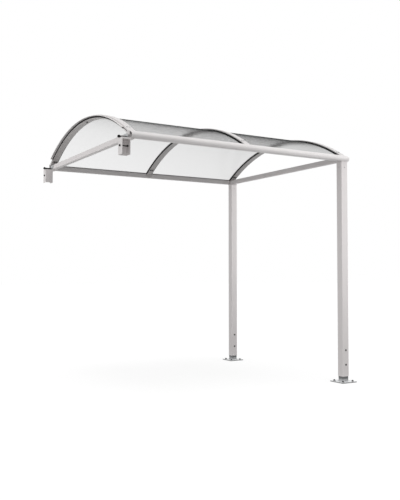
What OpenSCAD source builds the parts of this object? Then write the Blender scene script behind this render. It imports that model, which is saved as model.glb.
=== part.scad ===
// Add-on bay of a barrel-roofed bike shelter, in millimetres, +Z up.
// The origin is the centre of the front foot's underside, X runs along the
// row of bays towards the post end, and Y runs from the front to the rear.

/* [Bay] */
// distance between the coupling heads and the posts along the row
bay_pitch = 2465; // [1800:5:3000]
// distance between the front and rear post centres
post_pitch = 2065; // [1500:5:2600]

/* [Posts] */
// outside width of the square post tube
post_width = 80; // [60:1:120]
// wall thickness of the post tube
post_wall = 4; // [3:0.5:6]
// outside corner radius of the post tube
post_corner = 7; // [4:0.5:12]
// length of the post tube
post_length = 2205; // [1800:5:2600]
// height of the lower foot screw above the post's bottom
foot_screw_height = 120; // [60:5:200]
// distance between the two foot screws
foot_screw_pitch = 148; // [80:2:200]
// hole of the foot screws and head screws
screw_hole = 11; // [8:0.5:16]
// distance of the head's front and rear screws below the post's top
head_screw_drop = 53; // [35:1:80]
// distance of the head's side screws below the post's top
side_screw_drop = 48; // [35:1:80]

/* [Feet] */
// side of the square base plate
plate_side = 190; // [160:5:260]
// thickness of the base plate
plate_thickness = 10; // [8:1:16]
// distance between anchor holes
anchor_pitch = 130; // [110:5:150]
// diameter of the anchor holes
anchor_hole = 14; // [10:1:20]
// height of the post's bottom over the base plate
foot_gap = 50; // [30:5:90]
// length of the foot's spigot inside the post
spigot_insert = 330; // [290:5:400]
// wall thickness of the spigots
spigot_wall = 4; // [3:0.5:6]
// clearance between a spigot and the post around it
sleeve_clearance = 0.5; // [0.3:0.1:1]

/* [Heads] */
// thickness of the head plates over the posts and channels
head_plate = 8; // [6:1:12]
// length of the coupling channel below its head plate
channel_length = 138; // [100:1:200]
// thickness of the channel's closed top under the head plate
channel_cap = 7; // [4:0.5:12]
// wall thickness of the coupling channel
channel_wall = 5; // [4:0.5:8]
// distance of the coupling hole below the head plate
coupling_drop = 60; // [40:1:90]
// reach of a left head plate under the gutter and the tie
head_reach = 40; // [30:1:60]
// length of the right heads' spigots inside the posts
head_spigot = 145; // [100:5:200]
// length of the black joint pad along the row, with its bead
pad_length = 87; // [60:1:110]
// width of the joint pad
pad_width = 14; // [10:1:30]
// thickness of the joint pad
pad_thickness = 18; // [10:0.5:22]
// diameter of the round bead at the joint pad's outer end
pad_bead = 24; // [16:0.5:30]
// distance of the joint pad from the head's centre line
pad_offset = 13; // [0:1:25]
// length of the splice plates on the left tie's ends
splice_length = 90; // [60:1:120]
// height of the splice plates
splice_height = 42; // [30:1:48]
// thickness of the splice plates
splice_thickness = 5; // [3:0.5:8]

/* [Gutters and ties] */
// radius of the eaves gutters' round noses
nose_radius = 24; // [20:0.5:28]
// depth of the gutters from the nose to the flat inner wall
gutter_depth = 60; // [50:1:90]
// distance of the gutter's nose in front of the post centre
gutter_front = 70; // [60:1:90]
// depth of the gutters' sloping tops from the nose to the open edge
lip_depth = 41; // [36:1:46]
// wall thickness of the gutters
gutter_wall = 3; // [2:0.5:5]
// height of the gutters' inner walls, which the roof sheets pass over
inner_wall_height = 47.5; // [42:0.5:52]
// thickness of the gutters' end caps
cap_thickness = 3; // [2:0.5:5]
// outside width of the square ties
tie_width = 50; // [40:1:60]
// wall thickness of the ties
tie_wall = 3; // [2:0.5:5]
// outside corner radius of the ties
tie_corner = 5; // [3:0.5:8]
// clearance between the end of a tie and a gutter, and under an arch bar
tie_clearance = 0.5; // [0.2:0.1:1]

/* [Roof] */
// radius of the roof measured on top of the cover strips
roof_radius = 1955; // [1900:1:2200]
// distance from a coupling head's centre to the left arch's centre
left_arch_offset = 59; // [50:1:70]
// distance between adjoining arches of two bays in a row
arch_pair_pitch = 68; // [66:1:80]
// width of the flat arch bars
arch_width = 64; // [50:1:64]
// thickness of the arch bars
arch_thickness = 4; // [3:0.5:8]
// thickness of the end stops welded to the arch bars
stop_thickness = 6; // [3:0.5:10]
// height of the middle arch's end stops on the gutters' inner walls
stop_height = 26; // [16:1:34]
// height of the hollow cover strips
strip_height = 12; // [8:0.5:16]
// wall thickness of the cover strips and of the left one's flange
strip_wall = 3; // [2:0.5:4]
// reach of the left strip's flange over the neighbouring bay's arch
flange_reach = 25; // [20:1:30]
// distance of the flange's ends from the gutters, along the roof
flange_setback = 105; // [80:5:250]
// depth of the ledge that is left along the left strip past its flange's ends
flange_ledge = 2; // [1:0.5:4]
// thickness of the rubber seals over the sheets
upper_seal = 3; // [2:0.5:5]
// thickness of the rubber seals under the sheets
lower_seal = 6; // [3:0.5:8]
// reach of a seal beyond both edges of the strip or the arch it lies on
seal_reach = 2; // [1:0.5:2]
// thickness of the roof sheets
sheet_thickness = 6; // [4:0.5:8]
// distance of the sheets' outer edges from the end arches' outer edges
sheet_inset = 3; // [1:1:10]
// gap between the two sheets under the middle strip
sheet_gap = 12; // [4:1:20]
// reach of the sheets into the gutters past the inner wall
sheet_lap = 16; // [10:1:24]
// clearance between the sheets and the gutters' inner walls
sheet_clearance = 0.4; // [0.2:0.1:1]

/* [Hidden] */
$fn = 64;
arc_fn = 360;
post_bottom = plate_thickness + foot_gap;
post_top = post_bottom + post_length;
spigot_width = post_width - 2*post_wall - 2*sleeve_clearance;
spigot_corner = max(post_corner - post_wall, 2);
head_top = post_top + head_plate;
gutter_inner = gutter_depth - gutter_front;
gutter_left = -bay_pitch + post_width/2;
gutter_right = post_width/2;
left_arch_x = -bay_pitch + left_arch_offset;
right_arch_x = left_arch_offset - arch_pair_pitch;
middle_x = (left_arch_x + right_arch_x)/2;
mid_y = post_pitch/2;
wall_reach = mid_y - gutter_inner;
wall_top = head_top + inner_wall_height;
strip_in = roof_radius - strip_height;
sheet_out = strip_in - upper_seal;
sheet_in = sheet_out - sheet_thickness;
arch_out = sheet_in - lower_seal;
arch_in = arch_out - arch_thickness;
roof_z = wall_top + sheet_clearance - sqrt(pow(sheet_in, 2) - pow(wall_reach, 2));
sheet_half = asin((wall_reach + sheet_lap)/sheet_in);
stop_half = asin((wall_reach - tie_clearance)/arch_out);
arch_half = stop_half - stop_thickness/arch_out*180/PI;
seal_half = asin((wall_reach - tie_clearance)/sheet_in);
flange_half = stop_half - flange_setback/roof_radius*180/PI;
eave_slope = asin(wall_reach/sheet_in);
nose_y = nose_radius - gutter_front;
slope_y = nose_y - nose_radius*sin(eave_slope);
slope_z = nose_radius*(1 + cos(eave_slope));
lip_y = lip_depth - gutter_front;
lip_z = slope_z + (lip_y - slope_y)*tan(eave_slope);
strip_half = asin((mid_y - lip_y - tie_clearance)/roof_radius);

// square with rounded corners, centred
module round_square(side, r) {
  union() {
    square([side - 2*r, side], center = true);
    square([side, side - 2*r], center = true);
    for (sx = [-1, 1], sy = [-1, 1])
      translate([sx*(side/2 - r), sy*(side/2 - r)]) circle(r = r);
  }
}

// section of a square tube with rounded corners
module tube_section(side, wall, r) {
  difference() {
    round_square(side, r);
    round_square(side - 2*wall, max(r - wall, 1));
  }
}

// rear pieces are front pieces mirrored about the middle of the bay
module to_rear() {
  translate([0, post_pitch, 0]) mirror([0, 1, 0]) children();
}

// hole through a post's front and rear walls
module cross_hole(z, d) {
  translate([0, -post_width, z]) rotate([-90, 0, 0]) cylinder(d = d, h = 2*post_width);
}

// hole through a post's left and right walls
module side_hole(z, d) {
  translate([-post_width, 0, z]) rotate([0, 90, 0]) cylinder(d = d, h = 2*post_width);
}

// section of radius and distance along the row, swept about the roof's axis from
// angle a0 to a1 off the top, counted positive towards the rear
module roof_sweep(a0, a1) {
  translate([0, mid_y, roof_z]) rotate([90, 0, 90]) rotate([0, 0, 90 - a1])
    rotate_extrude(angle = a1 - a0, $fn = arc_fn) children();
}

// ring piece from x0 to x1 along the row
module roof_piece(r0, r1, x0, x1, a0, a1) {
  roof_sweep(a0, a1) translate([r0, x0]) square([r1 - r0, x1 - x0]);
}

// ring piece that reaches equally far to the front and to the rear
module roof_arc(r0, r1, x0, x1, half) {
  roof_piece(r0, r1, x0, x1, -half, half);
}

module foot_shape() {
  difference() {
    translate([-plate_side/2, -plate_side/2, 0]) cube([plate_side, plate_side, plate_thickness]);
    for (sx = [-1, 1], sy = [-1, 1])
      translate([sx*anchor_pitch/2, sy*anchor_pitch/2, -1])
        cylinder(d = anchor_hole, h = plate_thickness + 2);
  }
  difference() {
    translate([0, 0, plate_thickness])
      linear_extrude(height = foot_gap + spigot_insert)
        tube_section(spigot_width, spigot_wall, spigot_corner);
    cross_hole(post_bottom + foot_screw_height, screw_hole);
    cross_hole(post_bottom + foot_screw_height + foot_screw_pitch, screw_hole);
  }
}
module front_foot() { color([0.62, 0.64, 0.65]) foot_shape(); }
module rear_foot() { color([0.62, 0.64, 0.65]) to_rear() foot_shape(); }

module post_shape() {
  difference() {
    translate([0, 0, post_bottom])
      linear_extrude(height = post_length) tube_section(post_width, post_wall, post_corner);
    cross_hole(post_bottom + foot_screw_height, screw_hole);
    cross_hole(post_bottom + foot_screw_height + foot_screw_pitch, screw_hole);
    cross_hole(post_top - head_screw_drop, screw_hole);
    side_hole(post_top - side_screw_drop, screw_hole);
  }
}
module front_post() { color([0.80, 0.78, 0.77]) post_shape(); }
module rear_post() { color([0.80, 0.78, 0.77]) to_rear() post_shape(); }

module right_head_shape() {
  translate([-post_width/2, -post_width/2, post_top])
    cube([post_width, post_width, head_plate]);
  difference() {
    translate([0, 0, post_top - head_spigot])
      linear_extrude(height = head_spigot)
        tube_section(spigot_width, spigot_wall, spigot_corner);
    cross_hole(post_top - head_screw_drop, screw_hole);
    side_hole(post_top - side_screw_drop, screw_hole);
  }
}
module front_right_head() { color([0.80, 0.78, 0.77]) right_head_shape(); }
module rear_right_head() { color([0.80, 0.78, 0.77]) to_rear() right_head_shape(); }

module left_head_shape() {
  translate([-bay_pitch, 0, 0]) {
    translate([-post_width/2, -post_width/2, post_top])
      cube([post_width + head_reach, post_width, head_plate]);
    difference() {
      translate([-post_width/2, -post_width/2, post_top - channel_length])
        cube([post_width, post_width, channel_length]);
      translate([-post_width/2 + channel_wall, -post_width/2 - 1, post_top - channel_length - 1])
        cube([post_width - 2*channel_wall, post_width - channel_wall + 1,
              channel_length - channel_cap + 1]);
      side_hole(post_top - coupling_drop, screw_hole);
    }
  }
}
module front_left_head() { color([0.80, 0.78, 0.77]) left_head_shape(); }
module rear_left_head() { color([0.80, 0.78, 0.77]) to_rear() left_head_shape(); }

module pad_shape() {
  translate([left_arch_x - tie_width/2 - splice_thickness, pad_offset - pad_width/2, head_top]) union() {
    translate([pad_bead/2 - pad_length, 0, 0])
      cube([pad_length - pad_bead/2, pad_width, pad_thickness]);
    translate([pad_bead/2 - pad_length, 0, pad_bead/2]) rotate([-90, 0, 0])
      cylinder(d = pad_bead, h = pad_width);
  }
}
module front_joint_pad() { color([0.07, 0.07, 0.07]) pad_shape(); }
module rear_joint_pad() { color([0.07, 0.07, 0.07]) to_rear() pad_shape(); }

// outline of a gutter over its underside, nose at -Y, drawn in by the inset:
// the top slopes down to the round nose as the roof does at the eaves
module gutter_outline(inset) {
  r = nose_radius - inset;
  rise = inset/cos(eave_slope);
  union() {
    translate([nose_y, nose_radius]) circle(r = r);
    polygon([[nose_y, inset], [gutter_inner - inset, inset], [gutter_inner - inset, lip_z - rise],
             [lip_y, lip_z - rise],
             [nose_y - r*sin(eave_slope), nose_radius + r*cos(eave_slope)]]);
  }
}
// open trough: between the sloping top and the inner wall it is open for the sheets
module trough_outline() {
  difference() {
    gutter_outline(0);
    gutter_outline(gutter_wall);
    translate([lip_y, inner_wall_height]) square([gutter_inner - lip_y + 1, lip_z]);
  }
}
module gutter_shape() {
  translate([gutter_left, 0, head_top]) rotate([90, 0, 90])
    linear_extrude(height = gutter_right - cap_thickness - gutter_left) trough_outline();
}
module front_gutter() { color([0.80, 0.78, 0.77]) gutter_shape(); }
module rear_gutter() { color([0.80, 0.78, 0.77]) to_rear() gutter_shape(); }

module cap_shape() {
  translate([gutter_right - cap_thickness, 0, head_top]) rotate([90, 0, 90])
    linear_extrude(height = cap_thickness) gutter_outline(0);
}
module front_gutter_cap() { color([0.74, 0.73, 0.72]) cap_shape(); }
module rear_gutter_cap() { color([0.74, 0.73, 0.72]) to_rear() cap_shape(); }

// room for an end arch bar where it comes down onto the tie's ends
module arch_room(x) {
  roof_arc(arch_in - tie_clearance, roof_radius, x - arch_width, x + arch_width, stop_half + 2);
}
module tie_shape(x) {
  y0 = gutter_inner + tie_clearance;
  difference() {
    translate([x, y0, head_top + tie_width/2]) rotate([-90, 0, 0])
      linear_extrude(height = post_pitch - 2*y0) tube_section(tie_width, tie_wall, tie_corner);
    arch_room(x);
  }
}
module left_tie() { color([0.80, 0.78, 0.77]) tie_shape(left_arch_x); }
module right_tie() { color([0.80, 0.78, 0.77]) tie_shape(right_arch_x); }

module splice_shape() {
  difference() {
    translate([left_arch_x - tie_width/2 - splice_thickness, gutter_inner + tie_clearance,
               head_top + (tie_width - splice_height)/2])
      cube([splice_thickness, splice_length, splice_height]);
    arch_room(left_arch_x);
  }
}
module front_splice_plate() { color([0.62, 0.64, 0.65]) splice_shape(); }
module rear_splice_plate() { color([0.62, 0.64, 0.65]) to_rear() splice_shape(); }

module arch_shape(x) {
  roof_arc(arch_in, arch_out, x - arch_width/2, x + arch_width/2, arch_half);
}
module left_arch() { color([0.80, 0.78, 0.77]) arch_shape(left_arch_x); }
module middle_arch() { color([0.80, 0.78, 0.77]) arch_shape(middle_x); }
module right_arch() { color([0.80, 0.78, 0.77]) arch_shape(right_arch_x); }

module stop_shape(x) {
  roof_piece(arch_in, arch_out, x - arch_width/2, x + arch_width/2, -stop_half, -arch_half);
}
// the middle arch has no tie under it, so its end stops reach down the gutters' walls
module middle_stop_shape() {
  stop_top = roof_z + arch_in*cos(stop_half) + arch_thickness/2;
  union() {
    stop_shape(middle_x);
    translate([middle_x - arch_width/2, gutter_inner + tie_clearance, stop_top - stop_height])
      cube([arch_width, stop_thickness, stop_height]);
  }
}
module left_front_stop() { color([0.80, 0.78, 0.77]) stop_shape(left_arch_x); }
module left_rear_stop() { color([0.80, 0.78, 0.77]) to_rear() stop_shape(left_arch_x); }
module middle_front_stop() { color([0.80, 0.78, 0.77]) middle_stop_shape(); }
module middle_rear_stop() { color([0.80, 0.78, 0.77]) to_rear() middle_stop_shape(); }
module right_front_stop() { color([0.80, 0.78, 0.77]) stop_shape(right_arch_x); }
module right_rear_stop() { color([0.80, 0.78, 0.77]) to_rear() stop_shape(right_arch_x); }

// seal on an arch or under a strip
module seal_shape(r0, r1, x) {
  roof_arc(r0, r1, x - arch_width/2 - seal_reach, x + arch_width/2 + seal_reach, seal_half);
}
module left_lower_seal() { color([0.07, 0.07, 0.07]) seal_shape(arch_out, sheet_in, left_arch_x); }
module middle_lower_seal() { color([0.07, 0.07, 0.07]) seal_shape(arch_out, sheet_in, middle_x); }
module right_lower_seal() { color([0.07, 0.07, 0.07]) seal_shape(arch_out, sheet_in, right_arch_x); }

module left_sheet() {
  color([0.82, 0.84, 0.84, 0.4])
    roof_arc(sheet_in, sheet_out, left_arch_x - arch_width/2 + sheet_inset,
             middle_x - sheet_gap/2, sheet_half);
}
module right_sheet() {
  color([0.82, 0.84, 0.84, 0.4])
    roof_arc(sheet_in, sheet_out, middle_x + sheet_gap/2,
             right_arch_x + arch_width/2 - sheet_inset, sheet_half);
}

module left_upper_seal() { color([0.07, 0.07, 0.07]) seal_shape(sheet_out, strip_in, left_arch_x); }
module middle_upper_seal() { color([0.07, 0.07, 0.07]) seal_shape(sheet_out, strip_in, middle_x); }
module right_upper_seal() { color([0.07, 0.07, 0.07]) seal_shape(sheet_out, strip_in, right_arch_x); }

// section of a cover strip: a shallow channel, open towards the sheets, with a flange
// of the given reach on its left
module strip_section(x, reach) {
  x0 = x - arch_width/2;
  x1 = x + arch_width/2;
  channel = [[strip_in, x0 - reach], [strip_in, x0 + strip_wall],
             [roof_radius - strip_wall, x0 + strip_wall], [roof_radius - strip_wall, x1 - strip_wall],
             [strip_in, x1 - strip_wall], [strip_in, x1], [roof_radius, x1], [roof_radius, x0]];
  flange = [[strip_in + strip_wall, x0], [strip_in + strip_wall, x0 - reach]];
  polygon(reach > 0 ? concat(channel, flange) : channel);
}
module strip_shape(x) {
  roof_sweep(-strip_half, strip_half) strip_section(x, 0);
}
// room beside the left strip from angle a0 to a1, where its flange is cut back to a ledge
module flange_room(a0, a1) {
  x0 = left_arch_x - arch_width/2;
  roof_piece(strip_in - 1, roof_radius, x0 - flange_reach - 1, x0 - flange_ledge, a0, a1);
}
module left_strip() {
  color([0.82, 0.80, 0.79]) difference() {
    roof_sweep(-strip_half, strip_half) strip_section(left_arch_x, flange_reach);
    flange_room(flange_half, strip_half + 1);
    flange_room(-strip_half - 1, -flange_half);
  }
}
module middle_strip() { color([0.82, 0.80, 0.79]) strip_shape(middle_x); }
module right_strip() { color([0.82, 0.80, 0.79]) strip_shape(right_arch_x); }

front_foot();
rear_foot();
front_post();
rear_post();
front_right_head();
rear_right_head();
front_left_head();
rear_left_head();
front_joint_pad();
rear_joint_pad();
front_gutter();
rear_gutter();
front_gutter_cap();
rear_gutter_cap();
left_tie();
right_tie();
front_splice_plate();
rear_splice_plate();
left_arch();
middle_arch();
right_arch();
left_front_stop();
left_rear_stop();
middle_front_stop();
middle_rear_stop();
right_front_stop();
right_rear_stop();
left_lower_seal();
middle_lower_seal();
right_lower_seal();
left_sheet();
right_sheet();
left_upper_seal();
middle_upper_seal();
right_upper_seal();
left_strip();
middle_strip();
right_strip();
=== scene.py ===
import math

import bpy
import numpy as np
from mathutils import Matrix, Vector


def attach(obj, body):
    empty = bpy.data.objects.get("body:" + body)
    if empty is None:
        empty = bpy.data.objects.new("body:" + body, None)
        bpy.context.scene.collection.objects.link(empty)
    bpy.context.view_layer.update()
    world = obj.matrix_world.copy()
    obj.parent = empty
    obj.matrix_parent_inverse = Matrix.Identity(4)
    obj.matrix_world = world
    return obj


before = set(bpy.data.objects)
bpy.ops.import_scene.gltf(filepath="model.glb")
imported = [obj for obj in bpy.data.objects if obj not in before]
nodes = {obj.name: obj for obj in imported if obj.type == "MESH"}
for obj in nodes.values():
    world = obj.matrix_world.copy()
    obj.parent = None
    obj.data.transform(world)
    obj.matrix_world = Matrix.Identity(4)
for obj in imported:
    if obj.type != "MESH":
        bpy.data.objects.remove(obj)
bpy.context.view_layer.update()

# Feet: a thick square plate with a square spigot welded upright on it, hot-dip
# galvanised as one piece after welding. Four anchor studs with nuts and washers
# hold each plate down, and the post slides over the spigot.
FEET = ("front_foot", "rear_foot")
POST_Y = (0.0, 2.065)
PLATE_TOP = 0.010
ANCHOR_HALF = 0.065
SPIGOT_HALF = 0.0355
SPIGOT_CORNER = 0.004
WELD_RADIUS = 0.0045
WELD_STEP = 0.001
WELD_RIPPLE = 0.006
# The stud in its hole, the washer, the nut with its chamfers, the stud's end.
ANCHOR_ROWS = ((6, -9.5, 0), (6, 0, 0),
               (12, 0, 0), (12, 2.1, 0), (11.6, 2.5, 0),
               (9.4, 2.5, 0), (10.9, 3.3, 19), (10.9, 9.7, 19), (9.4, 10.5, 0),
               (6, 10.5, 0), (6, 12.7, 0), (5, 13.5, 0))


def linear(hex_colour):
    """Linear RGBA of an sRGB hex colour: c / 12.92 when dark, else ((c + 0.055) / 1.055) ** 2.4."""
    c = np.array([int(hex_colour[i:i + 2], 16) for i in (0, 2, 4)]) / 255
    c = np.where(c <= 0.04045, c / 12.92, ((c + 0.055) / 1.055) ** 2.4)
    return (*c.tolist(), 1.0)


def put(tree, kind, sockets=None, **settings):
    """Adds a shader node with its settings; a socket given another node's output is linked to it.
    A Mix node of colours takes them in sockets 6 and 7 and gives the result in output 2."""
    node = tree.nodes.new("ShaderNode" + kind)
    for name, value in settings.items():
        setattr(node, name, value)
    for name, value in (sockets or {}).items():
        if isinstance(value, bpy.types.NodeSocket):
            tree.links.new(value, node.inputs[name])
        else:
            node.inputs[name].default_value = value
    return node


def start_material(name):
    """A new material with an empty node tree, and its Object coordinates in metres."""
    made = bpy.data.materials.new(name)
    made.use_nodes = True
    made.node_tree.nodes.clear()
    return made, made.node_tree, put(made.node_tree, "TexCoord").outputs["Object"]


def dress(names, material):
    """Gives the named CAD nodes one material."""
    for name in names:
        nodes[name].data.materials.clear()
        nodes[name].data.materials.append(material)


def add_piece(name, points, faces, material, slot):
    """A new piece that stands still with the bay: smooth, but for edges sharper than 35 degrees."""
    mesh = bpy.data.meshes.new(name)
    mesh.from_pydata(points.tolist(), [], faces)
    mesh.polygons.foreach_set("use_smooth", np.ones(len(mesh.polygons), bool))
    mesh.set_sharp_from_angle(angle=math.radians(35))
    mesh.materials.append(material)
    piece = bpy.data.objects.new(name, mesh)
    bpy.context.scene.collection.objects.link(piece)
    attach(piece, "root")


def turned(spots, axes, rows, sides=24):
    """Points and faces of turned pieces, one on each spot along its axis. Each row is a ring of
    radius, height and width across flats in mm: a point of the ring lies at the smaller of the
    radius and half that width over the cosine of its angle from the nearest flat. A width of 0
    leaves the ring round. Both ends are closed."""
    radius, height, flats = np.array(rows, float).T / 1000
    turn = np.arange(sides) * 2 * np.pi / sides
    off_flat = (turn + np.pi / 6) % (np.pi / 3) - np.pi / 6
    hexagon = np.where(flats > 0, flats / 2, 1.0)[:, None] / np.cos(off_flat)
    ring = np.minimum(radius[:, None], hexagon)[..., None]
    spots, w = np.broadcast_arrays(np.array(spots, float), np.array(axes, float))
    u = np.cross(w, np.where(np.abs(w[:, :1]) < 0.9, (1.0, 0.0, 0.0), (0.0, 1.0, 0.0)))
    u /= np.linalg.norm(u, axis=1, keepdims=True)
    u, v, w, spots = (a[:, None, None] for a in (u, np.cross(w, u), w, spots))
    turn = turn[:, None]
    points = spots + ring * (np.cos(turn) * u + np.sin(turn) * v) + height[:, None, None] * w
    index = np.arange(points.size // 3).reshape(points.shape[:3])
    beside = np.roll(index, -1, 2)
    quads = np.stack([index[:, :-1], beside[:, :-1], beside[:, 1:], index[:, 1:]], -1)
    ends = np.concatenate([index[:, 0, ::-1], index[:, -1]])
    return points.reshape(-1, 3), quads.reshape(-1, 4).tolist() + ends.tolist()


def weld_bead(paths, closed, sides=10):
    """Points and faces of weld beads: a round profile carried along each level path, whose radius
    swells and shrinks by an eighth over each ripple. An open bead tapers to its two closed ends."""
    paths = np.array(paths)
    along = np.roll(paths, -1, 1) - np.roll(paths, 1, 1)
    if not closed:
        along[:, [0, -1]] = along[:, [1, -2]]
    along /= np.linalg.norm(along, axis=2, keepdims=True)
    side = np.cross(along, (0.0, 0.0, 1.0))
    run = np.arange(paths.shape[1]) * WELD_STEP
    radius = WELD_RADIUS * (1 + np.cos(2 * np.pi * run / WELD_RIPPLE) / 8)
    if not closed:
        radius *= np.sqrt(np.clip(np.minimum(run, run[::-1]) / WELD_RIPPLE, 0.02, 1))
    turn = np.arange(sides)[:, None] * 2 * np.pi / sides
    round_profile = np.cos(turn) * side[:, :, None] + np.sin(turn) * np.array((0.0, 0.0, 1.0))
    points = paths[:, :, None] + radius[:, None, None] * round_profile
    index = np.arange(points.size // 3).reshape(points.shape[:3])
    ahead = np.roll(index, -1, 1)
    quads = np.stack([index, ahead, np.roll(ahead, -1, 2), np.roll(index, -1, 2)], -1)
    quads = quads if closed else quads[:, :-1]
    ends = [] if closed else index[:, 0].tolist() + index[:, -1, ::-1].tolist()
    return points.reshape(-1, 3), quads.reshape(-1, 4).tolist() + ends


def square_loop(half, corner, z):
    """Points a weld step apart on a level square: a straight run and a quarter turn, four times."""
    run = np.arange(corner - half, half - corner, WELD_STEP)
    bend = np.arange(0, np.pi / 2, WELD_STEP / corner)
    x = np.concatenate([np.full_like(run, half), half - corner + corner * np.cos(bend)])
    y = np.concatenate([run, half - corner + corner * np.sin(bend)])
    x, y = np.concatenate([x, -y, -x, y]), np.concatenate([y, x, -y, -x])
    return np.stack([x, y, np.full_like(x, z)], 1)


# Hot-dip galvanised steel: zinc that froze in flat crystals, so patches of a few
# millimetres differ a little in tone and gloss on a dull grey metal. The plates' tops
# are painted lighter, a painted highlight from the light above. Their sides are painted
# darker, and the spigots' upper part under the posts' ends darker still: painted shade.
SPANGLE_MM = 9
ZINC_GRAIN_MM = 1.6
# Tolerance on the plates' top level, which marks where the painted highlight goes on the tops. Then
# the strength of the painted shade on the plates' sides, and the heights of the painted shade on
# the spigots.
TOP_SKIN = 0.0008
EDGE_SHADE = 0.55
SPIGOT_SHADE_FROM, SPIGOT_SHADE_FULL, SPIGOT_SHADE_END = 0.026, 0.040, 0.300
galvanised, tree, place = start_material("hot_dip_galvanised_steel")
spangle = put(tree, "TexVoronoi", {"Vector": place, "Scale": 1000 / SPANGLE_MM}, feature="F1")
crystal = put(tree, "RGBToBW", {"Color": spangle.outputs["Color"]})
zinc = put(tree, "Mix", {0: crystal.outputs[0], 6: linear("A6A7A8"), 7: linear("C0C1C2")},
           data_type="RGBA")
height = put(tree, "SeparateXYZ", {"Vector": place}).outputs["Z"]
# The plates' tops get a painted highlight: a much lighter zinc.
top = put(tree, "Math", {0: height, 1: PLATE_TOP, 2: TOP_SKIN}, operation="COMPARE")
zinc = put(tree, "Mix", {0: top.outputs[0], 6: zinc.outputs[2], 7: linear("ECEDEE")},
           data_type="RGBA")
# Painted shade on the spigots under the posts' ends: it fades in from 26 mm to 40 mm up and stops
# at 0.3 m.
rising = put(tree, "MapRange", {"Value": height, "From Min": SPIGOT_SHADE_FROM, "From Max": SPIGOT_SHADE_FULL})
near_ground = put(tree, "Math", {0: height, 1: SPIGOT_SHADE_END}, operation="LESS_THAN")
spigot_shade = put(tree, "Math", {0: rising.outputs[0], 1: near_ground.outputs[0]}, operation="MULTIPLY")
# Painted shade on the plates' sides, at a little over half strength. Both shades darken towards the
# dark grey below.
edge = put(tree, "Math", {0: height, 1: PLATE_TOP - TOP_SKIN}, operation="LESS_THAN")
edge = put(tree, "Math", {0: edge.outputs[0], 1: EDGE_SHADE}, operation="MULTIPLY")
zinc_painted_shade = put(tree, "Math", {0: spigot_shade.outputs[0], 1: edge.outputs[0]}, operation="MAXIMUM")
zinc = put(tree, "Mix", {0: zinc_painted_shade.outputs[0], 6: zinc.outputs[2], 7: linear("6C6D6E")},
           data_type="RGBA")
gloss = put(tree, "MapRange", {"Value": crystal.outputs[0], "To Min": 0.30, "To Max": 0.46})
grain = put(tree, "TexNoise", {"Vector": place, "Scale": 1000 / ZINC_GRAIN_MM, "Detail": 3})
relief = put(tree, "Bump", {"Height": grain.outputs["Fac"], "Strength": 0.25, "Distance": 0.0002})
surface = put(tree, "BsdfPrincipled", {"Base Color": zinc.outputs[2], "Metallic": 0.3,
                                       "Roughness": gloss.outputs[0], "Normal": relief.outputs[0]})
put(tree, "OutputMaterial", {"Surface": surface.outputs[0]})
dress(FEET, galvanised)

# Zinc plating on the nuts: a grey painted dark as painted shade, mottled at the plating's grain.
nut_zinc_shade, tree, place = start_material("zinc_plate_painted_shade")
mottle = put(tree, "TexNoise", {"Vector": place, "Scale": 1000 / ZINC_GRAIN_MM, "Detail": 2})
tone = put(tree, "Mix", {0: mottle.outputs["Fac"], 6: linear("4A4B4C"), 7: linear("606162")},
           data_type="RGBA")
surface = put(tree, "BsdfPrincipled", {"Base Color": tone.outputs[2], "Metallic": 0.3,
                                       "Roughness": 0.5})
put(tree, "OutputMaterial", {"Surface": surface.outputs[0]})

anchors = [(x, y0 + y, PLATE_TOP) for y0 in POST_Y for x in (-ANCHOR_HALF, ANCHOR_HALF)
           for y in (-ANCHOR_HALF, ANCHOR_HALF)]
add_piece("anchor_nuts", *turned(anchors, [(0, 0, 1)], ANCHOR_ROWS), nut_zinc_shade, "galvanised")
loop = square_loop(SPIGOT_HALF, SPIGOT_CORNER, PLATE_TOP)
loops = [loop + (0, y0, 0) for y0 in POST_Y]
add_piece("foot_welds", *weld_bead(loops, True), galvanised, "galvanised")

# Posts: 80 mm square tube with rounded corners, powder coated pale grey. Low-headed
# black screws through the front and rear walls hold the foot's spigot, and socket
# screws sunk in all four walls hold the head's.
POSTS = ("front_post", "rear_post")
POST_HALF = 0.040
FOOT_SCREW_Z = (0.180, 0.328)
HEAD_SCREW_Z = 2.212
SIDE_SCREW_Z = 2.217
# The shank, the low round head and its hexagon socket.
LOW_HEAD_ROWS = ((5.4, -7, 0), (5.4, 0, 0), (10, 0, 0), (10, 0.9, 0), (9.3, 1.6, 0),
                 (3.7, 1.6, 0), (3.4, 1.6, 6), (3.4, -3, 6))
# The shank, whose end lies below the tube's face, and its hexagon socket.
SUNK_ROWS = ((5.4, -9, 0), (5.4, -1.9, 0), (4.9, -1.4, 0), (3.1, -1.4, 0), (2.9, -1.4, 5),
             (2.9, -6, 5))

# Powder coat on steel: satin, with a fine orange peel and a faint cloudiness.
PEEL_MM = 1.4
CLOUD_MM = 260
painted, tree, place = start_material("powder_coated_steel")
cloud = put(tree, "TexNoise", {"Vector": place, "Scale": 1000 / CLOUD_MM, "Detail": 3})
tone = put(tree, "Mix", {0: cloud.outputs["Fac"], 6: linear("DEDAD9"), 7: linear("E6E1E1")},
           data_type="RGBA")
gloss = put(tree, "MapRange", {"Value": cloud.outputs["Fac"], "To Min": 0.40, "To Max": 0.52})
peel = put(tree, "TexNoise", {"Vector": place, "Scale": 1000 / PEEL_MM, "Detail": 1})
relief = put(tree, "Bump", {"Height": peel.outputs["Fac"], "Strength": 0.12, "Distance": 0.0002})
surface = put(tree, "BsdfPrincipled", {"Base Color": tone.outputs[2], "Roughness": gloss.outputs[0],
                                       "Normal": relief.outputs[0]})
put(tree, "OutputMaterial", {"Surface": surface.outputs[0]})
dress(POSTS, painted)

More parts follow.
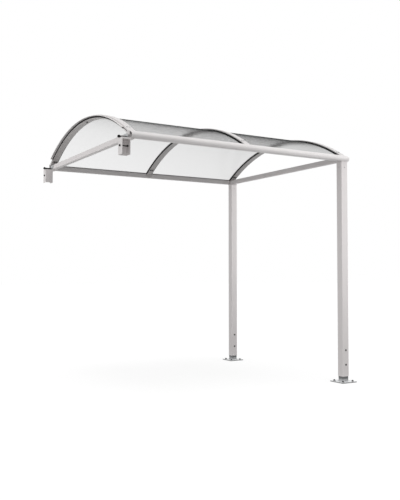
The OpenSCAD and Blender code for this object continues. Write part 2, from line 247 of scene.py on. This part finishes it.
# Black-oxidised steel: a thin dark film on turned steel, with faint tool marks. Real
# marks are about 0.2 mm apart, too fine to show, so they are drawn coarser.
TOOL_MARK_MM = 0.8
blackened, tree, place = start_material("black_oxidised_steel")
marks = put(tree, "TexNoise", {"Vector": place, "Scale": 1000 / TOOL_MARK_MM, "Detail": 2})
tone = put(tree, "Mix", {0: marks.outputs["Fac"], 6: linear("0A0A0B"), 7: linear("161617")},
           data_type="RGBA")
surface = put(tree, "BsdfPrincipled", {"Base Color": tone.outputs[2], "Metallic": 0.1,
                                       "Roughness": 0.6, "Specular IOR Level": 0.25})
put(tree, "OutputMaterial", {"Surface": surface.outputs[0]})

low = [(0, y0 + way * POST_HALF, z) for y0 in POST_Y for way in (-1, 1) for z in FOOT_SCREW_Z]
low_axes = [(0, way, 0) for y0 in POST_Y for way in (-1, 1) for z in FOOT_SCREW_Z]
add_piece("foot_screws", *turned(low, low_axes, LOW_HEAD_ROWS), blackened, "galvanised")
sunk = [(0, y0 + way * POST_HALF, HEAD_SCREW_Z) for y0 in POST_Y for way in (-1, 1)]
sunk += [(way * POST_HALF, y0, SIDE_SCREW_Z) for y0 in POST_Y for way in (-1, 1)]
sunk_axes = [(0, -1, 0), (0, 1, 0)] * 2 + [(-1, 0, 0), (1, 0, 0)] * 2
add_piece("head_screws", *turned(sunk, sunk_axes, SUNK_ROWS), galvanised, "galvanised")

# Heads: plates welded on short spigots at the post end, and on open channels at
# the coupling end, powder coated like the posts. A bolt crosses each channel.
HEADS = ("front_right_head", "rear_right_head", "front_left_head", "rear_left_head")
COUPLING_X = -2.465
COUPLING_Z = 2.205
PLATE_UNDER = 2.265
SEAM_HALF = 0.036
# The bolt's end and nut on the left flange, the shank, the nut inside the right
# flange, and the washer and head outside it.
BOLT_ROWS = ((4.4, -50.5, 0), (5, -50, 0), (5, -47.6, 0),
             (8.3, -47.6, 0), (9.8, -46.8, 17), (9.8, -40.8, 17), (8.3, -40, 0),
             (5, -40, 0), (5, 28, 0),
             (8.3, 28, 0), (9.8, 28.8, 17), (9.8, 35.2, 17), (8.3, 36, 0),
             (5, 36, 0), (5, 40, 0), (10.5, 40, 0), (10.5, 41.6, 0), (10.1, 42, 0),
             (8.3, 42, 0), (9.8, 42.7, 17), (9.8, 47.6, 17), (8.3, 48.4, 0))
dress(HEADS, painted)
bolts = [(COUPLING_X, y0, COUPLING_Z) for y0 in POST_Y]
add_piece("coupling_bolts", *turned(bolts, [(1, 0, 0)], BOLT_ROWS), blackened, "galvanised")
run = np.arange(-SEAM_HALF, SEAM_HALF, WELD_STEP)
seam_x, seam_z = np.full_like(run, COUPLING_X + POST_HALF), np.full_like(run, PLATE_UNDER)
seam = np.stack([seam_x, run, seam_z], 1)
seams = [seam + (0, y0, 0) for y0 in POST_Y]
add_piece("head_welds", *weld_bead(seams, False), painted, "paint")

# Joint pads: moulded black rubber laid on the coupling heads' plates, with a round
# bead at the outer end.
PADS = ("front_joint_pad", "rear_joint_pad")

# EPDM rubber: near black, matt, with a fine grain from the mould. Real grain is about
# 0.2 mm, too fine to show, so it is drawn coarser.
RUBBER_GRAIN_MM = 0.9
rubber, tree, place = start_material("epdm_rubber")
grain = put(tree, "TexNoise", {"Vector": place, "Scale": 1000 / RUBBER_GRAIN_MM, "Detail": 2})
tone = put(tree, "Mix", {0: grain.outputs["Fac"], 6: linear("0E0E0E"), 7: linear("1A1A1A")},
           data_type="RGBA")
relief = put(tree, "Bump", {"Height": grain.outputs["Fac"], "Strength": 0.3, "Distance": 0.0002})
surface = put(tree, "BsdfPrincipled", {"Base Color": tone.outputs[2], "Roughness": 0.7,
                                       "Specular IOR Level": 0.2, "Normal": relief.outputs[0]})
put(tree, "OutputMaterial", {"Surface": surface.outputs[0]})
dress(PADS, rubber)

# Gutters and caps: extruded aluminium troughs with a round nose, powder coated.
# The caps are plates that close the troughs' right ends.
GUTTERS = ("front_gutter", "rear_gutter", "front_gutter_cap", "rear_gutter_cap")

# Powder coat on extruded aluminium: nearly the posts' colour, with faint die lines
# along the profile that show through the thinner coat.
DIE_LINE_MM = 2.5
DIE_LINE_STRETCH = 250


def coat_on_aluminium(name, dark, light):
    """Satin powder coat between two tones, over die lines along X drawn as stretched noise."""
    made, tree, place = start_material(name)
    cloud = put(tree, "TexNoise", {"Vector": place, "Scale": 1000 / CLOUD_MM, "Detail": 3})
    tone = put(tree, "Mix", {0: cloud.outputs["Fac"], 6: linear(dark), 7: linear(light)},
               data_type="RGBA")
    drawn = put(tree, "Mapping", {"Vector": place, "Scale": (1 / DIE_LINE_STRETCH, 1, 1)})
    lines = put(tree, "TexNoise", {"Vector": drawn.outputs[0], "Scale": 1000 / DIE_LINE_MM,
                                   "Detail": 2})
    gloss = put(tree, "MapRange", {"Value": lines.outputs["Fac"], "To Min": 0.34, "To Max": 0.46})
    relief = put(tree, "Bump", {"Height": lines.outputs["Fac"], "Strength": 0.10,
                                "Distance": 0.0002})
    surface = put(tree, "BsdfPrincipled", {"Base Color": tone.outputs[2],
                                           "Roughness": gloss.outputs[0],
                                           "Normal": relief.outputs[0]})
    put(tree, "OutputMaterial", {"Surface": surface.outputs[0]})
    return made


coated = coat_on_aluminium("powder_coated_aluminium", "DCD9D8", "E4E0E0")
dress(GUTTERS, coated)

# Ties: square tubes from gutter to gutter, powder coated. Galvanised splice plates
# are screwed on the left tie's ends, where the neighbouring bay's tie is joined on.
SPLICE_FACE = -2.436
SPLICE_SCREW_IN = (0.036, 0.066)
SPLICE_SCREW_Z = 2.298
# The shank, the button head and its hexagon socket.
BUTTON_ROWS = ((4, -4, 0), (4, 0, 0), (7, 0, 0), (6.9, 1.4, 0), (5.9, 3.0, 0), (4.4, 3.9, 0),
               (2.9, 4.2, 0), (2.6, 4.2, 5), (2.6, 1.6, 5))
dress(("left_tie", "right_tie"), painted)
dress(("front_splice_plate", "rear_splice_plate"), galvanised)
buttons = [(SPLICE_FACE, y, SPLICE_SCREW_Z) for inset in SPLICE_SCREW_IN
           for y in (POST_Y[0] + inset, POST_Y[1] - inset)]
add_piece("splice_screws", *turned(buttons, [(-1, 0, 0)], BUTTON_ROWS), galvanised, "galvanised")

# Arches: flat aluminium bars bent to the roof's curve, with welded end stops, in a
# coat painted darker than the gutters' as painted shade under the roof. On each lie a
# rubber seal, the sheets, a second seal and a hollow cover strip. The seals' lips show
# at all edges but the left arch's outer.
SIDES = ("left", "middle", "right")
ARCH_X = np.array((-2.406, -1.2075, -0.009))
ARCH_HALF = 0.032
ROOF_MID_Y = 1.0325
ROOF_AXIS_Z = 0.69194
UPPER_LIP = ((1940, 0), (1940, 6), (1941.5, 7), (1944, 5), (1947, 2), (1947.4, 0))
LOWER_LIP = ((1923.6, 0), (1924, 2), (1927, 5), (1931, 8), (1934, 7), (1934, 0))
LIP_END = 32.55
# The darker coat on the bars and stops is painted shade under the roof.
bar_coat_painted_shade = coat_on_aluminium("powder_coated_bar_painted_shade", "C0BDBB", "C8C4C3")
dress([f"{side}_arch" for side in SIDES], bar_coat_painted_shade)
dress([f"{side}_{end}_stop" for side in SIDES for end in ("front", "rear")], bar_coat_painted_shade)
dress([f"{side}_{level}_seal" for side in SIDES for level in ("lower", "upper")], rubber)
dress([f"{side}_strip" for side in SIDES], coated)


def roof_strip(section, x_edges, ways, start, stop):
    """Points and faces of strips carried round the roof's curve from one angle to another. The
    section is a loop of radius and distance out from an edge in mm; on left-hand edges its order
    is turned round, so that all faces look outward. Both ends are closed."""
    radius, out = np.array(section, float).T / 1000
    arc = np.radians(np.linspace(start, stop, 2 + round(2 * (stop - start))))[:, None]
    ways = np.array(ways)[:, None, None]
    x = np.array(x_edges)[:, None, None] + ways * out + 0 * arc
    y = ROOF_MID_Y + radius * np.sin(arc) + 0 * x
    z = ROOF_AXIS_Z + radius * np.cos(arc) + 0 * x
    points = np.stack([x, y, z], -1)
    points = np.where(ways[..., None] < 0, points[:, :, ::-1], points)
    index = np.arange(points.size // 3).reshape(points.shape[:3])
    ahead = np.roll(index, -1, 1)
    quads = np.stack([index, ahead, np.roll(ahead, -1, 2), np.roll(index, -1, 2)], -1)[:, :-1]
    ends = index[:, 0].tolist() + index[:, -1, ::-1].tolist()
    return points.reshape(-1, 3), quads.reshape(-1, 4).tolist() + ends


lip_edges = np.concatenate([ARCH_X[1:] - ARCH_HALF, ARCH_X + ARCH_HALF])
lip_ways = (-1, -1, 1, 1, 1)
for name, lip in (("upper_lips", UPPER_LIP), ("lower_lips", LOWER_LIP)):
    add_piece(name, *roof_strip(lip, lip_edges, lip_ways, -LIP_END, LIP_END), rubber, "rubber")

# End trims and corner covers: thin coated aluminium at the left arch's two ends. The
# trims close the sandwich's edge past the cover strip's flange. The covers are folded
# round the gutters' inner corners: an outline in plan carried straight up, and its mirror.
END_TRIM = ((1925, 2.2), (1925, 3.8), (1937, 3.8), (1937, 2.2))
TRIM_FROM, TRIM_TO = 29.7, 32.5
CORNER_PLAN = ((-2444, -14), (-2444, -31), (-2443.4, -32.4), (-2442, -33), (-2426, -33),
               (-2426, -30.5), (-2441, -30.5), (-2441.5, -30), (-2441.5, -14))
CORNER_Z = (2.300, 2.334)
left_edge = ARCH_X[:1] - ARCH_HALF
for name, start, stop in (("front_end_trim", -TRIM_TO, -TRIM_FROM),
                          ("rear_end_trim", TRIM_FROM, TRIM_TO)):
    add_piece(name, *roof_strip(END_TRIM, left_edge, (-1,), start, stop), coated, "paint")

front = np.array(CORNER_PLAN) / 1000
rear = np.stack([front[:, 0], 2 * ROOF_MID_Y - front[:, 1]], 1)[::-1]
plan = np.stack([front, rear])[:, None] + np.zeros((2, 2, 1, 1))
level = np.array(CORNER_Z)[None, :, None, None] + 0 * plan[..., :1]
points = np.concatenate([plan, level], -1)
index = np.arange(points.size // 3).reshape(points.shape[:3])
beside = np.roll(index, -1, 2)
walls = np.stack([index[:, 0], beside[:, 0], beside[:, 1], index[:, 1]], -1).reshape(-1, 4)
faces = walls.tolist() + index[:, 0, ::-1].tolist() + index[:, 1].tolist()
add_piece("corner_covers", points.reshape(-1, 3), faces, coated, "paint")

# Clamp bolts: galvanised dome heads on the cover strips, and black nuts under the
# arches, which press the layers together. They sit in pairs at the eaves and singly
# at the top.
STRIP_TOP = 1.955
CLAMP_ANGLE = 30.13
CLAMP_HALF = 0.0125
# The shank and the dome; then the bolt's end, the nut and its washer.
HEAD_ROWS = ((4, -3, 0), (4, 0, 0), (8.5, 0, 0), (8.5, 0.9, 0), (7.9, 2.2, 0), (6.4, 3.6, 0),
             (4.2, 4.6, 0), (1.4, 5.0, 0))
NUT_ROWS = ((3.3, -43, 0), (4, -42.3, 0), (4, -39, 0),
            (6.4, -39, 0), (7.5, -38.4, 13), (7.5, -33.2, 13), (6.4, -32.6, 0),
            (8.5, -32.6, 0), (8.5, -31, 0), (4, -31, 0), (4, -29, 0))
angle = np.radians((-CLAMP_ANGLE, -CLAMP_ANGLE, 0, CLAMP_ANGLE, CLAMP_ANGLE))
aside = np.array((-1, 1, 0, -1, 1)) * CLAMP_HALF
outward = np.stack([np.zeros_like(angle), np.sin(angle), np.cos(angle)], 1)
clamps = np.array((0, ROOF_MID_Y, ROOF_AXIS_Z)) + STRIP_TOP * outward
clamps = clamps + (ARCH_X[:, None] + aside)[..., None] * (1, 0, 0)
clamps, outward = clamps.reshape(-1, 3), np.tile(outward, (len(SIDES), 1))
add_piece("clamp_heads", *turned(clamps, outward, HEAD_ROWS), galvanised, "galvanised")
add_piece("clamp_nuts", *turned(clamps, outward, NUT_ROWS), blackened, "galvanised")

# Roof sheets: clear twin-wall polycarbonate, bent cold over the arches and clamped
# under the cover strips, with inner ribs that follow the curve.
SHEETS = ("left_sheet", "right_sheet")

# Twin-wall polycarbonate: what is far behind it blurs, and it greys with the path
# through it, exp(-depth / straightness). The ribs make the depth swing by a fifth,
# and a look across them meets more walls than a look along them.
RIB_PITCH = 0.016
RIB_SWING = 0.2
DEPTH = 0.074
ACROSS_GAIN, ACROSS_BASE = 2.4, 0.5
GRAZING_LIMIT = 1.03
SHEET_IOR = 1.45
BLUR = 0.06
SKIN_SHARE = 0.03
LAMP_SHARE = 0.65
# The wave texture's own period in metres, at a scale of 1.
WAVE_PERIOD = 2 * math.pi / 20
polycarbonate, tree, place = start_material("twin_wall_polycarbonate")
ribs = put(tree, "TexWave", {"Vector": place, "Scale": WAVE_PERIOD / RIB_PITCH},
           bands_direction="X")
depth = put(tree, "MapRange", {"Value": ribs.outputs["Fac"], "To Min": -DEPTH * (1 - RIB_SWING),
                               "To Max": -DEPTH * (1 + RIB_SWING)})
row_axis = put(tree, "CombineXYZ", {"X": 1.0})
off_axis = put(tree, "LayerWeight", {"Blend": 0.5, "Normal": row_axis.outputs[0]})
across = put(tree, "Math", {0: 1.0, 1: off_axis.outputs["Facing"]}, operation="SUBTRACT")
across = put(tree, "Math", {0: across.outputs[0], 1: 2.0}, operation="POWER")
walls_met = put(tree, "Math", {0: across.outputs[0], 1: ACROSS_GAIN, 2: ACROSS_BASE},
                operation="MULTIPLY_ADD")
depth = put(tree, "Math", {0: depth.outputs[0], 1: walls_met.outputs[0]}, operation="MULTIPLY")
facing = put(tree, "LayerWeight", {"Blend": 0.5})
straight = put(tree, "Math", {0: GRAZING_LIMIT, 1: facing.outputs["Facing"]}, operation="SUBTRACT")
depth = put(tree, "Math", {0: depth.outputs[0], 1: straight.outputs[0]}, operation="DIVIDE")
left_over = put(tree, "Math", {0: depth.outputs[0]}, operation="EXPONENT")
through = put(tree, "BsdfRefraction", {"Color": left_over.outputs[0], "Roughness": BLUR,
                                       "IOR": SHEET_IOR})
skin = put(tree, "BsdfGlossy", {"Color": linear("FFFFFF"), "Roughness": 0.2})
seen_sheet = put(tree, "MixShader", {0: SKIN_SHARE, 1: through.outputs[0], 2: skin.outputs[0]})
# Lamp light passes straight through, less the share that the ribs throw back.
lamp_light = put(tree, "Math", {0: left_over.outputs[0], 1: LAMP_SHARE}, operation="MULTIPLY")
passing = put(tree, "BsdfTransparent", {"Color": lamp_light.outputs[0]})
path = put(tree, "LightPath")
unseen = put(tree, "Math", {0: path.outputs["Is Shadow Ray"], 1: path.outputs["Is Diffuse Ray"]},
             operation="MAXIMUM")
surface = put(tree, "MixShader", {0: unseen.outputs[0], 1: seen_sheet.outputs[0],
                                  2: passing.outputs[0]})
put(tree, "OutputMaterial", {"Surface": surface.outputs[0]})
dress(SHEETS, polycarbonate)

# Stage: a white floor that keeps a faint shadow, a white world, soft lamps and
# the camera.
FLOOR_HALF = 60.0
FLOOR_DROP = 0.001
corners = np.array([[-1, -1, 0], [1, -1, 0], [1, 1, 0], [-1, 1, 0]]) * FLOOR_HALF
mesh = bpy.data.meshes.new("floor")
mesh.from_pydata((corners - [0, 0, FLOOR_DROP]).tolist(), [], [(0, 1, 2, 3)])
floor = bpy.data.objects.new("floor", mesh)
bpy.context.scene.collection.objects.link(floor)


def seen_directly(tree):
    """1 for camera, glossy and transmission rays, which show the stage white, and 0 for others."""
    path = put(tree, "LightPath")
    seen = put(tree, "Math", {0: path.outputs["Is Camera Ray"], 1: path.outputs["Is Glossy Ray"]},
               operation="MAXIMUM")
    seen = put(tree, "Math", {0: seen.outputs[0], 1: path.outputs["Is Transmission Ray"]},
               operation="MAXIMUM")
    return seen.outputs[0]


FLOOR_GLOW = 0.78
white_floor, tree, _ = start_material("white_floor")
plain = put(tree, "BsdfDiffuse", {"Color": linear("A6A6A6")})
shaded = put(tree, "BsdfDiffuse", {"Color": linear("909090")})
glow = put(tree, "Emission", {"Strength": FLOOR_GLOW})
shown = put(tree, "AddShader", {0: shaded.outputs[0], 1: glow.outputs[0]})
surface = put(tree, "MixShader", {0: seen_directly(tree), 1: plain.outputs[0],
                                  2: shown.outputs[0]})
put(tree, "OutputMaterial", {"Surface": surface.outputs[0]})
floor.data.materials.append(white_floor)

AMBIENT = 0.5
world = bpy.data.worlds.new("white_world")
bpy.context.scene.world = world
world.use_nodes = True
tree = world.node_tree
tree.nodes.clear()
level = put(tree, "MapRange", {"Value": seen_directly(tree), "To Min": AMBIENT, "To Max": 1.0})
sky = put(tree, "Background", {"Color": (1, 1, 1, 1), "Strength": level.outputs[0]})
put(tree, "OutputWorld", {"Surface": sky.outputs[0]})


def lamp(name, kind, spot, target, energy, **settings):
    """A lamp at spot whose light heads for target."""
    data = bpy.data.lights.new(name, kind)
    data.energy = energy
    for key, value in settings.items():
        setattr(data, key, value)
    made = bpy.data.objects.new(name, data)
    bpy.context.scene.collection.objects.link(made)
    made.location = spot
    aim = Vector(target) - Vector(spot)
    made.rotation_euler = aim.to_track_quat("-Z", "Y").to_euler()
    return made


# A broad soft sun overhead, a panel at the left, a weaker one at the front left, and
# a far spot from the front that lights the posts, the front gutter with its cap and
# the head beside it, and nothing else.
lamp("sky_key", "SUN", (-1.3, -0.2, 6.5), (-1.2, 1.0, 1.0), 1.3, angle=math.radians(40))
lamp("left_panel", "AREA", (-8.5, 2.4, 1.8), (-1.0, 1.0, 1.7), 105.0,
     shape="RECTANGLE", size=3.0, size_y=1.5)
lamp("front_fill", "AREA", (-6.0, -6.5, 1.4), (-2.2, 0.8, 2.2), 60.0,
     shape="RECTANGLE", size=3.0, size_y=2.0)
post_spot = lamp("post_spot", "SPOT", (4.7, -31.4, 0.6), (0.1, 1.4, 2.2), 19600.0,
                 spot_size=math.radians(9), spot_blend=1.0, shadow_soft_size=1.2)
spot_lit = bpy.data.collections.new("spot_lit")
for name in POSTS + ("front_gutter", "front_gutter_cap", "front_right_head"):
    spot_lit.objects.link(nodes[name])
post_spot.light_linking.receiver_collection = spot_lit

# The camera is fitted to the posts, base plates and coupling heads. The sensor's width
# lies along the picture's longer side, which is its height.
CAMERA_SPOT = (-4.832, -5.277, 1.110)
CAMERA_YAW = 30.58
CAMERA_PITCH = 2.02
FOCAL_PIXELS = 676.4
IMAGE_HEIGHT = 500
SENSOR_MM = 36.0
camera_data = bpy.data.cameras.new("camera")
camera_data.sensor_width = SENSOR_MM
camera_data.lens = FOCAL_PIXELS / IMAGE_HEIGHT * SENSOR_MM
camera = bpy.data.objects.new("camera", camera_data)
camera.location = CAMERA_SPOT
camera.rotation_euler = (math.radians(90 + CAMERA_PITCH), 0, math.radians(-CAMERA_YAW))
bpy.context.scene.collection.objects.link(camera)
bpy.context.scene.camera = camera
bpy.context.scene.view_settings.view_transform = "Standard"
